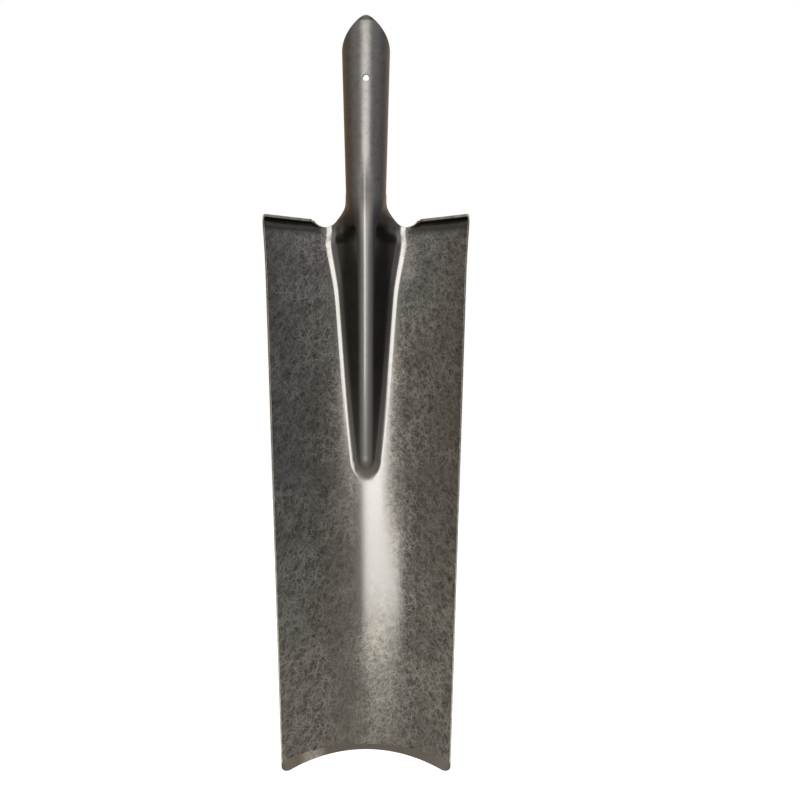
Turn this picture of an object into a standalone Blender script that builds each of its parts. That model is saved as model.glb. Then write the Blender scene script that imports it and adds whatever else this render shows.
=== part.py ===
"""The steel head of a drain spade, pressed and rolled from one sheet: a conical socket for the handle, a raised
frog, a tapering trough blade with a hollow-cut edge, and two treads turned forward.

Metres, +Z up along the socket. The face looks to -Y, and the origin is on the socket's axis at the fixing hole.
The sheet is divided where its form changes, and each zone is one object.
"""

import math

import bmesh
import bpy
import numpy as np

# The sheet
SHEET_THICKNESS = 0.0020
ZONE_GAP = 0.0003  # left between one zone and the next

# The socket, measured outside
HOLE_DIAMETER = 0.0050
SOCKET_DIAMETER = 0.0355  # at the hole
SOCKET_TAPER = 0.0279  # radius lost for each metre down the cone
TIP_ABOVE_HOLE = 0.0465
RIM_FALL = 0.82  # the rim drops by this for each metre round the cone
TIP_ROUNDING = 0.0040
SEAM_WIDTH = 0.0012  # between the rolled edges, at the back
NECK_BELOW_HOLE = 0.0839  # where the sides stop wrapping round
WING_RISE = 0.0300  # from the neck up to the foot of the seam
WING_SWEEP = 0.7  # under 1, so the wings rise steeply at the sides and run flat into the seam

# The blade
SHOULDER_BELOW_NECK = 0.0247  # where the treads start to turn
BLADE_LENGTH = 0.3950  # from the shoulder to the middle of the cutting edge
SHOULDER_HALF_WIDTH = 0.0753
EDGE_HALF_WIDTH = 0.0603
FLARE = 0.0010  # the sides stand out by this at the shoulder
FLARE_LENGTH = 0.0450
BLADE_SETBACK = 0.0097  # the trough's middle behind the socket's axis, at the shoulder
BLADE_LEAN = 0.068  # the trough comes forward by this for each metre down
TROUGH_RADIUS_TOP = 0.1150
TROUGH_RADIUS_BOTTOM = 0.0900
EDGE_ARC_RADIUS = 0.1910  # of the hollow cut, seen from the front
CORNER_RADIUS = 0.0046
BEVEL_HEIGHT = 0.0045  # of the ground face, at the middle
BEVEL_ARC_RADIUS = 0.4900
EDGE_THICKNESS = 0.0006

# The frog
CREST_RADIUS_TOP = 0.0090
CREST_RADIUS_NOSE = 0.0075
FLANK_ANGLE = math.radians(50)
FLANK_EASING = math.radians(7)  # taken off that angle a little below the notches
FLANK_EASING_DEPTH = 0.0140  # below the shoulder, where all of it is off
FLANK_EASING_END = 0.0550  # below the shoulder, where none of it is off
FILLET_RADIUS = 0.0090
FILLET_SPREAD = 0.0030  # added to the fillet's radius at the notch
FILLET_FADE = 0.0700  # below the shoulder, where that has died away
FROG_LENGTH = 0.1770  # from the shoulder to where the rounded nose starts
NOSE_STRETCH = 1.4  # length of the rounded nose over half its width
NOSE_DIP = 0.0016  # the crest comes down by this towards the nose
NOSE_DIP_LENGTH = 0.0700
NECK_BLEND = 0.0201  # the round socket's sides lean out into flanks over this length
CREST_BLEND = 0.0550  # the round socket narrows to the crest over this length
FROG_MARGIN = 0.0006  # of plain trough that the frog's zone takes in

# The treads and the notches beside the neck
TREAD_REACH = 0.0120  # forward from the blade
NOTCH_BEND_RADIUS = 0.0020  # inside, where the tread's bend starts beside the notch
TREAD_BEND_RADIUS = 0.0050  # inside, along the tread
TREAD_BEND_GROWTH = 0.0100  # the bend opens from one to the other over this width
TREAD_STRAIGHTENING = 0.0200  # at its outer end the tread turns straight forward, over this width
TREAD_INNER_END = 0.0414  # from the middle, at the front edge
TREAD_OUTER_INSET = 0.0012  # the front corner lies inside the blade's side by this
NOTCH_FLOOR_RISE = 0.0008  # above the shoulder
NOTCH_SWEEP = 2.05  # 2 for an elliptical side to the neck, less for a straighter one
NOTCH_TREAD_WIDTH = 0.0095  # of the curve from the notch's floor into the tread's inner end
NOTCH_TREAD_RISE = 0.0045

# Base colour and roughness of each zone's steel
FINISHES = {
    "socket": ((0.17, 0.16, 0.15), 0.32),
    "frog": ((0.13, 0.125, 0.12), 0.28),
    "blade": ((0.11, 0.105, 0.10), 0.38),
    "left_tread": ((0.12, 0.115, 0.11), 0.34),
    "right_tread": ((0.12, 0.115, 0.11), 0.34),
}
SHARP_ANGLE = math.radians(35)

# Points along a curve
SECTION_POINTS = 60
FULLEST = 0.9  # share of the trough's radius that a section reaches out to
SOCKET_COLUMNS = 48
SOCKET_ROWS = 8
FROG_COLUMNS = 22
NECK_ROWS = 6
FROG_ROWS = 15
NOSE_ROWS = 7
BLADE_COLUMNS = 12
CORNER_COLUMNS = 4
BLADE_ROWS = 13
TREAD_COLUMNS = 8
SHOULDER_ROWS = 3
BEND_ROWS = 5
FLAT_ROWS = 2
HOLE_SIDES = 32
NORMAL_STEP = 0.0001
WELD = 0.00001

NECK_Z = -NECK_BELOW_HOLE
SHOULDER_Z = NECK_Z - SHOULDER_BELOW_NECK
NOSE_Z = SHOULDER_Z - FROG_LENGTH
EDGE_Z = SHOULDER_Z - BLADE_LENGTH
NOTCH_Z = SHOULDER_Z + NOTCH_FLOOR_RISE
LEAN = math.atan(BLADE_LEAN)
UNDERSIDE_Z = SHOULDER_Z + NOTCH_BEND_RADIUS * (1 + math.sin(LEAN))
BEND_Z = UNDERSIDE_Z - TREAD_BEND_RADIUS * (1 + math.sin(LEAN))
HALF_GAP = ZONE_GAP / 2


def smooth(t):
    """0 to 1 with no slope at either end."""
    t = min(max(t, 0.0), 1.0)
    return t * t * (3 - 2 * t)


def socket_radius(z):
    return SOCKET_DIAMETER / 2 + SOCKET_TAPER * z


def trough_radius(z):
    down = (SHOULDER_Z - z) / BLADE_LENGTH
    return TROUGH_RADIUS_TOP + (TROUGH_RADIUS_BOTTOM - TROUGH_RADIUS_TOP) * down


def middle_y(z):
    """Depth of the trough's middle line."""
    return BLADE_SETBACK + BLADE_LEAN * (z - SHOULDER_Z)


def trough_y(x, z):
    radius = trough_radius(z)
    return middle_y(z) - radius + np.sqrt(radius**2 - np.square(x))


def side_x(z):
    """Half width of the blade."""
    down = (SHOULDER_Z - z) / BLADE_LENGTH
    straight = SHOULDER_HALF_WIDTH + (EDGE_HALF_WIDTH - SHOULDER_HALF_WIDTH) * down
    near = max(0.0, 1 - (SHOULDER_Z - z) / FLARE_LENGTH)
    return straight + FLARE * near**2


def ridge(z):
    """Crest radius, crest centre, flank angle, fillet radius, fillet centre and fillet end of the frog's section.

    The crest is an arc, the flank a straight line and the fillet an arc that runs out on the trough. Where the
    ridge is low, the crest and the fillet touch and no flank is left.
    """
    below_neck = smooth((NECK_Z - z) / NECK_BLEND)
    down = (SHOULDER_Z - z) / FROG_LENGTH
    crest = CREST_RADIUS_TOP + (CREST_RADIUS_NOSE - CREST_RADIUS_TOP) * min(max(down, 0.0), 1.0)
    crest = socket_radius(z) + (crest - socket_radius(z)) * smooth((NECK_Z - z) / CREST_BLEND)
    below_shoulder = SHOULDER_Z - z
    easing = smooth((FLANK_EASING_END - below_shoulder) / (FLANK_EASING_END - FLANK_EASING_DEPTH))
    easing *= FLANK_EASING * smooth(below_shoulder / FLANK_EASING_DEPTH)
    flank = math.pi / 2 + (FLANK_ANGLE - easing - math.pi / 2) * below_neck
    fillet = FILLET_RADIUS + FILLET_SPREAD * smooth(1 - below_shoulder / FILLET_FADE)
    dipped = min(max(1 - (z - NOSE_Z) / NOSE_DIP_LENGTH, 0.0), 1.0)
    centre_y = crest - socket_radius(z) + NOSE_DIP * dipped**2
    trough = trough_radius(z)
    apart = centre_y - middle_y(z) + trough
    both = crest + fillet
    inner = trough - fillet
    touch = math.acos(min(1.0, (apart**2 + both**2 - inner**2) / (2 * apart * both)))
    if touch <= flank:
        flank = touch
        straight = 0.0
    else:
        rest = both**2 + apart**2 - 2 * apart * both * math.cos(flank) - inner**2
        straight = -apart * math.sin(flank) + math.sqrt((apart * math.sin(flank)) ** 2 - rest)
    fillet_x = both * math.sin(flank) + straight * math.cos(flank)
    fillet_y = centre_y - both * math.cos(flank) + straight * math.sin(flank)
    end = math.atan2(fillet_x, fillet_y - middle_y(z) + trough)
    return crest, centre_y, flank, fillet, fillet_x, fillet_y, end


def frog_foot(z):
    """Half width of the frog, where its fillet runs out on the trough."""
    return trough_radius(z) * math.sin(ridge(z)[-1])


def ridge_points(z):
    """The frog's section from its middle line to the end of its fillet."""
    crest, centre_y, flank, fillet, fillet_x, fillet_y, end = ridge(z)
    round_crest = np.linspace(0, flank, SECTION_POINTS)
    round_foot = np.linspace(flank, -end, SECTION_POINTS)
    x = np.concatenate([crest * np.sin(round_crest), fillet_x - fillet * np.sin(round_foot)])
    y = np.concatenate([centre_y - crest * np.cos(round_crest), fillet_y + fillet * np.cos(round_foot)])
    return x, y


def section(z):
    """Points across half of the sheet's face at one height, from the middle outwards.

    From the nose's start the ridge is turned about its middle line there and stretched, which rounds the nose off.
    """
    if z >= NOSE_Z:
        x, y = ridge_points(z)
    else:
        x, y = ridge_points(NOSE_Z)
        height = trough_y(x, NOSE_Z) - y
        beyond = (NOSE_Z - z) / NOSE_STRETCH
        reached = x > beyond
        start = np.interp(beyond, x, height)
        height = np.concatenate([[start], height[reached]])
        x = np.concatenate([[0.0], np.sqrt(np.square(x[reached]) - beyond**2)])
        y = trough_y(x, z) - height
    outer = np.linspace(x[-1], FULLEST * trough_radius(z), SECTION_POINTS)[1:]
    x = np.concatenate([x, outer])
    y = np.concatenate([y, trough_y(outer, z)])
    along = np.concatenate([[0.0], np.cumsum(np.hypot(np.diff(x), np.diff(y)))])
    return along, x, y


def frog_face(along, z):
    """A point of the frog's face, by its length along the section and its height."""
    lengths, x, y = section(z)
    side = math.copysign(1.0, along)
    return np.array([side * np.interp(abs(along), lengths, x), np.interp(abs(along), lengths, y), z])


def bend_radius(x):
    """Inside radius of the tread's bend, which is tight beside the notch."""
    return NOTCH_BEND_RADIUS + (TREAD_BEND_RADIUS - NOTCH_BEND_RADIUS) * smooth(
        (x - frog_half_width(SHOULDER_Z)) / TREAD_BEND_GROWTH
    )


def bend_start(x):
    """Height at which the blade starts to bend forward."""
    return UNDERSIDE_Z - bend_radius(x) * (1 + math.sin(LEAN))


def bent_face(x, turn):
    """A point of the tread's bend: x is its place across the blade, and turn its slope off the socket's axis."""
    radius = bend_radius(x)
    start = bend_start(x)
    forward = radius * (math.cos(LEAN) - math.cos(turn))
    inward = 1 - smooth(1 - (side_x(SHOULDER_Z) - x) / TREAD_STRAIGHTENING)
    angle = inward * x / trough_radius(start)
    z = start + radius * (math.sin(turn) + math.sin(LEAN))
    return np.array([x - forward * math.sin(angle), trough_y(x, start) - forward * math.cos(angle), z])


def turn_at(x, z):
    """Slope of the tread's bend where it passes a height."""
    return math.asin(1 - (UNDERSIDE_Z - z) / bend_radius(x))


def blade_face(x, z):
    """A point of the blade's face, which starts to bend forward just below the shoulder."""
    if z > bend_start(x):
        return bent_face(x, turn_at(x, z))
    return np.array([x, trough_y(x, z), z])


def socket_face(turn, z):
    """A point on the outside of the socket, by its angle from the front and its height."""
    radius = socket_radius(z)
    return np.array([radius * math.sin(turn), -radius * math.cos(turn), z])


def outward(face, across, up):
    """The direction square to the face, out of its front."""
    step = NORMAL_STEP
    side = face(across + step, up) - face(across - step, up)
    rise = face(across, up + step) - face(across, up - step)
    normal = np.cross(side, rise)
    return normal / np.linalg.norm(normal)


def walls(face, grid, thickness=SHEET_THICKNESS):
    """Front and back points of the sheet over a grid of (across, up) pairs."""
    front = [[face(across, up) for across, up in row] for row in grid]
    back = [
        [point - thickness * outward(face, across, up) for point, (across, up) in zip(points, row)]
        for points, row in zip(front, grid)
    ]
    return front, back


def sheet_object(name, front, back, open_rows=None):
    """A closed sheet from rows of front and back points, given from the top down and from -X to +X.

    From the row open_rows on, the first column has no end face, because its mirrored half joins it there.
    """
    mesh = bpy.data.meshes.new(name)
    body = bmesh.new()
    faces = [[body.verts.new(point) for point in row] for row in front]
    backs = [[body.verts.new(point) for point in row] for row in back]
    rows, columns = len(faces) - 1, len(faces[0]) - 1
    for i in range(rows):
        for j in range(columns):
            body.faces.new((faces[i][j], faces[i + 1][j], faces[i + 1][j + 1], faces[i][j + 1]))
            body.faces.new((backs[i][j], backs[i][j + 1], backs[i + 1][j + 1], backs[i + 1][j]))
        if open_rows is None or i < open_rows:
            body.faces.new((faces[i][0], backs[i][0], backs[i + 1][0], faces[i + 1][0]))
        body.faces.new((faces[i][-1], faces[i + 1][-1], backs[i + 1][-1], backs[i][-1]))
    for j in range(columns):
        body.faces.new((faces[0][j], faces[0][j + 1], backs[0][j + 1], backs[0][j]))
        body.faces.new((faces[-1][j + 1], faces[-1][j], backs[-1][j], backs[-1][j + 1]))
    bmesh.ops.remove_doubles(body, verts=body.verts, dist=WELD)
    body.to_mesh(mesh)
    body.free()
    mesh.shade_smooth()
    mesh.set_sharp_from_angle(angle=SHARP_ANGLE)
    obj = bpy.data.objects.new(name, mesh)
    bpy.context.scene.collection.objects.link(obj)
    mesh.materials.append(steel(name + "_steel", *FINISHES[name]))
    return obj


def steel(name, colour, roughness):
    material = bpy.data.materials.new(name)
    material.use_nodes = True
    shader = material.node_tree.nodes["Principled BSDF"]
    shader.inputs["Base Color"].default_value = (*colour, 1)
    shader.inputs["Roughness"].default_value = roughness
    shader.inputs["Metallic"].default_value = 1
    return material


def make_socket():
    """A cone whose rim falls from a rounded tip at the front to the open seam at the back."""
    neck_radius = socket_radius(NECK_Z)
    tip_radius = socket_radius(TIP_ABOVE_HOLE)
    last_turn = math.pi - SEAM_WIDTH / 2 / neck_radius
    grid = []
    for i in range(SOCKET_ROWS + 1):
        share = i / SOCKET_ROWS
        row = []
        for j in range(SOCKET_COLUMNS + 1):
            turn = last_turn * (2 * j / SOCKET_COLUMNS - 1)
            round_cone = abs(turn) * tip_radius
            rim = TIP_ABOVE_HOLE - RIM_FALL * (math.hypot(round_cone, TIP_ROUNDING) - TIP_ROUNDING)
            past_side = max(0.0, abs(turn) - math.pi / 2) / (last_turn - math.pi / 2)
            foot = NECK_Z + HALF_GAP + WING_RISE * past_side**WING_SWEEP
            row.append((turn, rim + (foot - rim) * share))
        grid.append(row)
    socket = sheet_object("socket", *walls(socket_face, grid))
    bpy.ops.mesh.primitive_cylinder_add(
        vertices=HOLE_SIDES,
        radius=HOLE_DIAMETER / 2,
        depth=SOCKET_DIAMETER,
        location=(0, -SOCKET_DIAMETER / 2, 0),
        rotation=(math.pi / 2, 0, 0),
    )
    drill = bpy.context.object
    drill.name = "fixing_hole_drill"
    drill.hide_render = True
    drill.display_type = "WIRE"
    hole = socket.modifiers.new("fixing_hole", "BOOLEAN")
    hole.operation = "DIFFERENCE"
    hole.object = drill


def frog_half_width(z):
    """Half width of the frog's zone below the notch: the fillet and a strip of trough, closed round the nose."""
    if z >= NOSE_Z:
        return frog_foot(z) + FROG_MARGIN
    return nose_half_width(frog_foot(NOSE_Z) + FROG_MARGIN, z)


def nose_half_width(radius, z):
    """Half width of the rounded nose, which is an ellipse seen from the front."""
    return math.sqrt(max(0.0, radius**2 - ((NOSE_Z - z) / NOSE_STRETCH) ** 2))


def frog_heights():
    """Heights of the rows beside the frog, from the shoulder to just above its nose."""
    heights = [SHOULDER_Z + (BEND_Z - SHOULDER_Z) * k / SHOULDER_ROWS for k in range(SHOULDER_ROWS)]
    return heights + [BEND_Z + (NOSE_Z - BEND_Z) * k / FROG_ROWS for k in range(FROG_ROWS)]


def nose_heights(radius):
    """Heights down the rounded end of the frog's zone, from its widest to its tip."""
    return [NOSE_Z - NOSE_STRETCH * radius * math.sin(math.pi / 2 * k / NOSE_ROWS) for k in range(NOSE_ROWS + 1)]


def length_at(x, z):
    """Length along the section from the middle to x."""
    lengths, xs, _ = section(z)
    return float(np.interp(x, xs, lengths))


def notch_half_length(z):
    """Half length of the sheet's section between the neck and the notch's floor."""
    neck = math.pi / 2 * socket_radius(NECK_Z)
    floor = length_at(frog_half_width(NOTCH_Z), NOTCH_Z)
    fall = (NECK_Z - z) / (NECK_Z - NOTCH_Z)
    return neck + (floor - neck) * (1 - max(0.0, 1 - fall**NOTCH_SWEEP) ** (1 / NOTCH_SWEEP))


def make_frog():
    """The neck between the notches and the ridge below it, down to its rounded nose."""
    tip_radius = frog_half_width(NOSE_Z) - HALF_GAP
    rows = []
    for k in range(NECK_ROWS + 1):
        z = NECK_Z - (NECK_Z - NOTCH_Z) * math.sin(math.pi / 2 * k / NECK_ROWS)
        rows.append((min(z, NECK_Z - HALF_GAP), notch_half_length(z)))
    for z in frog_heights():
        rows.append((z, length_at(frog_half_width(z) - HALF_GAP, z)))
    for z in nose_heights(tip_radius):
        rows.append((z, length_at(nose_half_width(tip_radius, z), z)))
    columns = [2 * j / FROG_COLUMNS - 1 for j in range(FROG_COLUMNS + 1)]
    grid = [[(share * half, z) for share in columns] for z, half in rows]
    sheet_object("frog", *walls(frog_face, grid))


def corner_centre():
    """Centre of the round corner, which touches the side and the hollow cut."""
    z = EDGE_Z
    for _ in range(4):
        x = side_x(z) - CORNER_RADIUS
        z = EDGE_Z - EDGE_ARC_RADIUS + math.sqrt((EDGE_ARC_RADIUS + CORNER_RADIUS) ** 2 - x**2)
    return x, z


def edge_z(x):
    """Height of the cutting edge, with its round corner."""
    corner_x, corner_z = corner_centre()
    if x <= corner_x * EDGE_ARC_RADIUS / (EDGE_ARC_RADIUS + CORNER_RADIUS):
        return EDGE_Z - EDGE_ARC_RADIUS + math.sqrt(EDGE_ARC_RADIUS**2 - x**2)
    return corner_z - math.sqrt(max(0.0, CORNER_RADIUS**2 - (x - corner_x) ** 2))


def bevel_z(x):
    """Height at which the ground face starts."""
    return EDGE_Z + BEVEL_HEIGHT - BEVEL_ARC_RADIUS + math.sqrt(BEVEL_ARC_RADIUS**2 - x**2)


def make_blade():
    """The trough round the frog and below it, with the face ground down to a thin edge."""
    corner_x, corner_z = corner_centre()
    turn_x = corner_x * EDGE_ARC_RADIUS / (EDGE_ARC_RADIUS + CORNER_RADIUS)
    full_x = corner_x + CORNER_RADIUS
    shares = [j / BLADE_COLUMNS * turn_x / full_x for j in range(BLADE_COLUMNS + 1)]
    lean = math.asin((turn_x - corner_x) / CORNER_RADIUS)
    for k in range(1, CORNER_COLUMNS + 1):
        turn = lean + (math.pi / 2 - lean) * k / CORNER_COLUMNS
        shares.append((corner_x + CORNER_RADIUS * math.sin(turn)) / full_x)
    tip_radius = frog_half_width(NOSE_Z) + HALF_GAP
    nose = nose_heights(tip_radius)
    grid = []
    for z in frog_heights():
        inner = frog_half_width(z) + HALF_GAP
        z = min(z, SHOULDER_Z - HALF_GAP)
        grid.append([(inner + (side_x(z) - inner) * share, z) for share in shares])
    for z in nose:
        inner = nose_half_width(tip_radius, z)
        grid.append([(inner + (side_x(z) - inner) * share, z) for share in shares])
    tip_row = len(grid) - 1
    start = nose[-1]
    for k in range(1, BLADE_ROWS + 1):
        row = []
        for share in shares:
            x = share * full_x
            z = start + (bevel_z(x) - start) * k / BLADE_ROWS
            row.append((share * side_x(z), z))
        grid.append(row)
    grid.append([(share * full_x, edge_z(share * full_x)) for share in shares])
    front, back = walls(blade_face, grid)
    front[-1] = [
        far + EDGE_THICKNESS * outward(blade_face, across, up) for far, (across, up) in zip(back[-1], grid[-1])
    ]
    blade = sheet_object("blade", front, back, open_rows=tip_row)
    mirror = blade.modifiers.new("left_half", "MIRROR")
    mirror.merge_threshold = WELD


def tread_face(across, along):
    """A point of a right tread's inner face, by its share from the inner to the outer end and its place along the
    sheet: 0 to 1 from the shoulder round the bend, then 1 to 2 out along the flat underside.
    """
    inner_root = frog_half_width(SHOULDER_Z) + HALF_GAP
    outer_root = side_x(SHOULDER_Z)
    first = turn_at(inner_root, SHOULDER_Z)
    length = NOTCH_BEND_RADIUS * (math.pi / 2 - first) * min(along, 1) + TREAD_REACH * max(along - 1, 0)
    climbed = min(max((length - NOTCH_FLOOR_RISE) / NOTCH_TREAD_RISE, 0.0), 1.0)
    notch = NOTCH_TREAD_WIDTH * math.sqrt(1 - (1 - climbed) ** 2)
    root = inner_root + notch + (outer_root - inner_root - notch) * across
    first = turn_at(root, SHOULDER_Z)
    x, y, z = bent_face(root, first + (math.pi / 2 - first) * min(along, 1))
    if along <= 1:
        return np.array([x, y, z])
    out = along - 1
    outer_front = outer_root - TREAD_OUTER_INSET
    front_x = TREAD_INNER_END + (outer_front - TREAD_INNER_END) * across
    inner_y = trough_y(TREAD_INNER_END, SHOULDER_Z)
    outer_y = trough_y(outer_front, SHOULDER_Z)
    front_y = inner_y + (outer_y - inner_y) * across - TREAD_REACH
    return np.array([x + (front_x - x) * out, y + (front_y - y) * out, z])


def make_tread(name, side):
    """One tread. The sheet's inner face turns from the blade's face to the tread's underside."""
    places = [HALF_GAP / NOTCH_BEND_RADIUS] + [k / BEND_ROWS for k in range(1, BEND_ROWS + 1)]
    places += [1 + k / FLAT_ROWS for k in range(1, FLAT_ROWS + 1)]
    shares = [j / TREAD_COLUMNS for j in range(TREAD_COLUMNS + 1)]
    grid = [[(share, place) for share in shares] for place in reversed(places)]
    front, back = walls(tread_face, grid)
    if side < 0:
        turned = np.array([-1.0, 1.0, 1.0])
        front = [[point * turned for point in reversed(row)] for row in front]
        back = [[point * turned for point in reversed(row)] for row in back]
    sheet_object(name, front, back)


def main():
    for obj in list(bpy.data.objects):
        bpy.data.objects.remove(obj, do_unlink=True)
    make_socket()
    make_frog()
    make_blade()
    make_tread("left_tread", -1)
    make_tread("right_tread", 1)


main()
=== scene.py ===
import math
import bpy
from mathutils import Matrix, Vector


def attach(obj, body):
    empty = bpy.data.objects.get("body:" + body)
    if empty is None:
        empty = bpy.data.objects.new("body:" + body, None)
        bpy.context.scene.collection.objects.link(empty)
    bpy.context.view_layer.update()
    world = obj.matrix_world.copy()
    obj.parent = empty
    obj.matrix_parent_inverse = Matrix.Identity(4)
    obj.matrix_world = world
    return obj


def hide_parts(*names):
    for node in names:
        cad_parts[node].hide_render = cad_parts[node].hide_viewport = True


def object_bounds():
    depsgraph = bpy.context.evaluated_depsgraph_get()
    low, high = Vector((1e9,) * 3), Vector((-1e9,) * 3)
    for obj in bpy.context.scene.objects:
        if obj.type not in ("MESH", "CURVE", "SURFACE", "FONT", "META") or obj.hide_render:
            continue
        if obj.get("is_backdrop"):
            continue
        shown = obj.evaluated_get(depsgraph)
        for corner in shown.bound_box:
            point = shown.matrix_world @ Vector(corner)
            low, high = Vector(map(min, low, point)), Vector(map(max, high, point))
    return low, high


bl_info = {
    "name": "Drain Spade Head",
    "version": (1, 0, 0),
    "blender": (4, 5, 0),
    "location": "View3D > Sidebar > Spade",
    "description": "Blanks, presses and finishes a drain spade's steel head, and sets its studio",
    "category": "Add Mesh",
}

from functools import partial

import bpy
import numpy as np
from bpy.props import FloatProperty, FloatVectorProperty, IntProperty, PointerProperty, StringProperty
from bpy.types import Operator, Panel, PropertyGroup

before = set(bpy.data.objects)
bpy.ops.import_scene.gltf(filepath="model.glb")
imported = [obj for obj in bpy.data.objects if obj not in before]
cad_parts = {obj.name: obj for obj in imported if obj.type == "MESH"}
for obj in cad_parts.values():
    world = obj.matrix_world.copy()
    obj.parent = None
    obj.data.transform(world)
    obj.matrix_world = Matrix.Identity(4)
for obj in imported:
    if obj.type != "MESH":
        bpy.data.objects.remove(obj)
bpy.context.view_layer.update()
CUT_EDGE = "cut_edge"
FRONT = "front"
GROUND = "ground"
TINY = 1e-6  # two places closer than this, in metres, are the same
# How far a face's normal points up or down on the flat blank
WALL = 0.5  # less is a cut edge, and more is one of the sheet's two faces
FACE = 0.9  # more is one of the two faces and no part of an edge's rounding
UNTOUCHED_FACE = 0.999
SMOOTH = {"interpolation_type": "SMOOTHSTEP"}


def number(name, description, default, **options):
    return FloatProperty(name=name, description=description, default=default, precision=5, **options)


def length(name, description, metres):
    return number(name, description, metres, unit="LENGTH")


def angle(name, description, degrees):
    return number(name, description, math.radians(degrees), subtype="ANGLE")


def count(name, description, default):
    return IntProperty(name=name, description=description, default=default)


class SpadeSizes(PropertyGroup):
    """Real sizes of the head, in metres."""

    thickness: length("Sheet", "Thickness of the steel sheet", 0.0020)
    edge_round: length("Edge rounding", "Radius that tumbling leaves on the sheet's edges", 0.00035)
    hole: length("Fixing hole", "Diameter of the hole for the handle's rivet", 0.0050)
    socket: length("Socket", "Outside diameter of the socket at its hole", 0.0355)
    taper: number("Socket taper", "Radius lost for each metre down the cone", 0.0279)
    tip: length("Tip", "Height of the rim's tip above the hole", 0.0465)
    rim_fall: number("Rim fall", "Drop of the rim for each metre round the cone", 0.82)
    tip_round: length("Tip rounding", "Radius at the rim's tip", 0.0040)
    seam: length("Seam", "Gap between the rolled edges", 0.0012)
    neck: length("Neck", "Depth below the hole where the sides stop wrapping round", 0.0839)
    wing_rise: length("Wing rise", "Height from the neck to the seam's foot", 0.0300)
    wing_sweep: number("Wing sweep", "Under 1 for wings that rise steeply first", 0.7)
    shoulder: length("Shoulder", "Depth of the treads' zone below the neck", 0.0247)
    blade: length("Blade", "Length from the shoulder to the middle of the edge", 0.3950)
    top_half: length("Top half width", "Half width of the blade at the shoulder", 0.0753)
    edge_half: length("Edge half width", "Half width of the blade at its edge", 0.0603)
    flare: length("Flare", "The sides stand out by this at the shoulder", 0.0010)
    flare_length: length("Flare length", "Height over which the flare dies away", 0.0450)
    setback: length("Setback", "Depth of the trough behind the socket's axis at the shoulder", 0.0097)
    lean: number("Lean", "The trough comes forward by this for each metre down", 0.068)
    trough_top: length("Trough radius, top", "Radius of the trough at the shoulder", 0.1150)
    trough_edge: length("Trough radius, edge", "Radius of the trough at the edge", 0.0900)
    edge_arc: length("Edge arc", "Radius of the hollow cut", 0.1910)
    corner: length("Corner", "Radius of the edge's round corners", 0.0046)
    bevel: length("Bevel", "Height of the ground face at the middle", 0.0045)
    bevel_arc: length("Bevel arc", "Radius of the line where grinding starts", 0.4900)
    keen: length("Keen edge", "Thickness left at the edge", 0.0006)
    crest_top: length("Crest, top", "Radius of the frog's crest at the shoulder", 0.0090)
    crest_nose: length("Crest, nose", "Radius of the frog's crest at the nose", 0.0075)
    flank: angle("Flank", "Slope of the frog's flanks", 50)
    easing: angle("Flank easing", "Taken off the slope below the notches", 7)
    easing_depth: length("Easing depth", "Depth below the shoulder where all of it is off", 0.0140)
    easing_end: length("Easing end", "Depth below the shoulder where none of it is off", 0.0550)
    fillet: length("Fillet", "Radius between the frog's flank and the trough", 0.0090)
    fillet_spread: length("Fillet spread", "Added to the fillet's radius at the notch", 0.0030)
    fillet_fade: length("Fillet fade", "Depth below the shoulder where that has died away", 0.0700)
    frog: length("Frog", "Length from the shoulder to where the nose starts", 0.1770)
    nose_stretch: number("Nose stretch", "Length of the nose over half its width", 1.4)
    dip: length("Nose dip", "The crest comes down by this towards the nose", 0.0016)
    dip_length: length("Dip length", "Height over which the crest comes down", 0.0700)
    neck_blend: length("Neck blend", "The socket's sides lean out into flanks over this length", 0.0201)
    crest_blend: length("Crest blend", "The round socket narrows to the crest over this length", 0.0550)
    frog_margin: length("Frog margin", "Plain trough that is pressed with the frog", 0.0006)
    reach: length("Tread", "Reach of a tread in front of its bend", 0.0120)
    notch_bend: length("Notch bend", "Inside radius of the bend where it starts beside the notch", 0.0020)
    bend: length("Tread bend", "Inside radius of the bend along the tread", 0.0050)
    bend_growth: length("Bend growth", "The bend opens from one to the other over this width", 0.0100)
    straightening: length("Straightening", "The outer end turns straight forward, over this width", 0.0200)
    tread_inner: length("Tread's inner end", "Distance from the middle, at the front edge", 0.0414)
    tread_inset: length("Tread inset", "The front corner lies inside the blade's side by this", 0.0012)
    floor_rise: length("Notch floor", "Height of the notch's floor above the shoulder", 0.0008)
    notch_sweep: number("Notch sweep", "2 for an elliptical notch side", 2.05)
    notch_width: length("Notch width", "Width of the curve into the tread's inner end", 0.0095)
    notch_rise: length("Notch rise", "Height of the curve into the tread's inner end", 0.0045)


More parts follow.
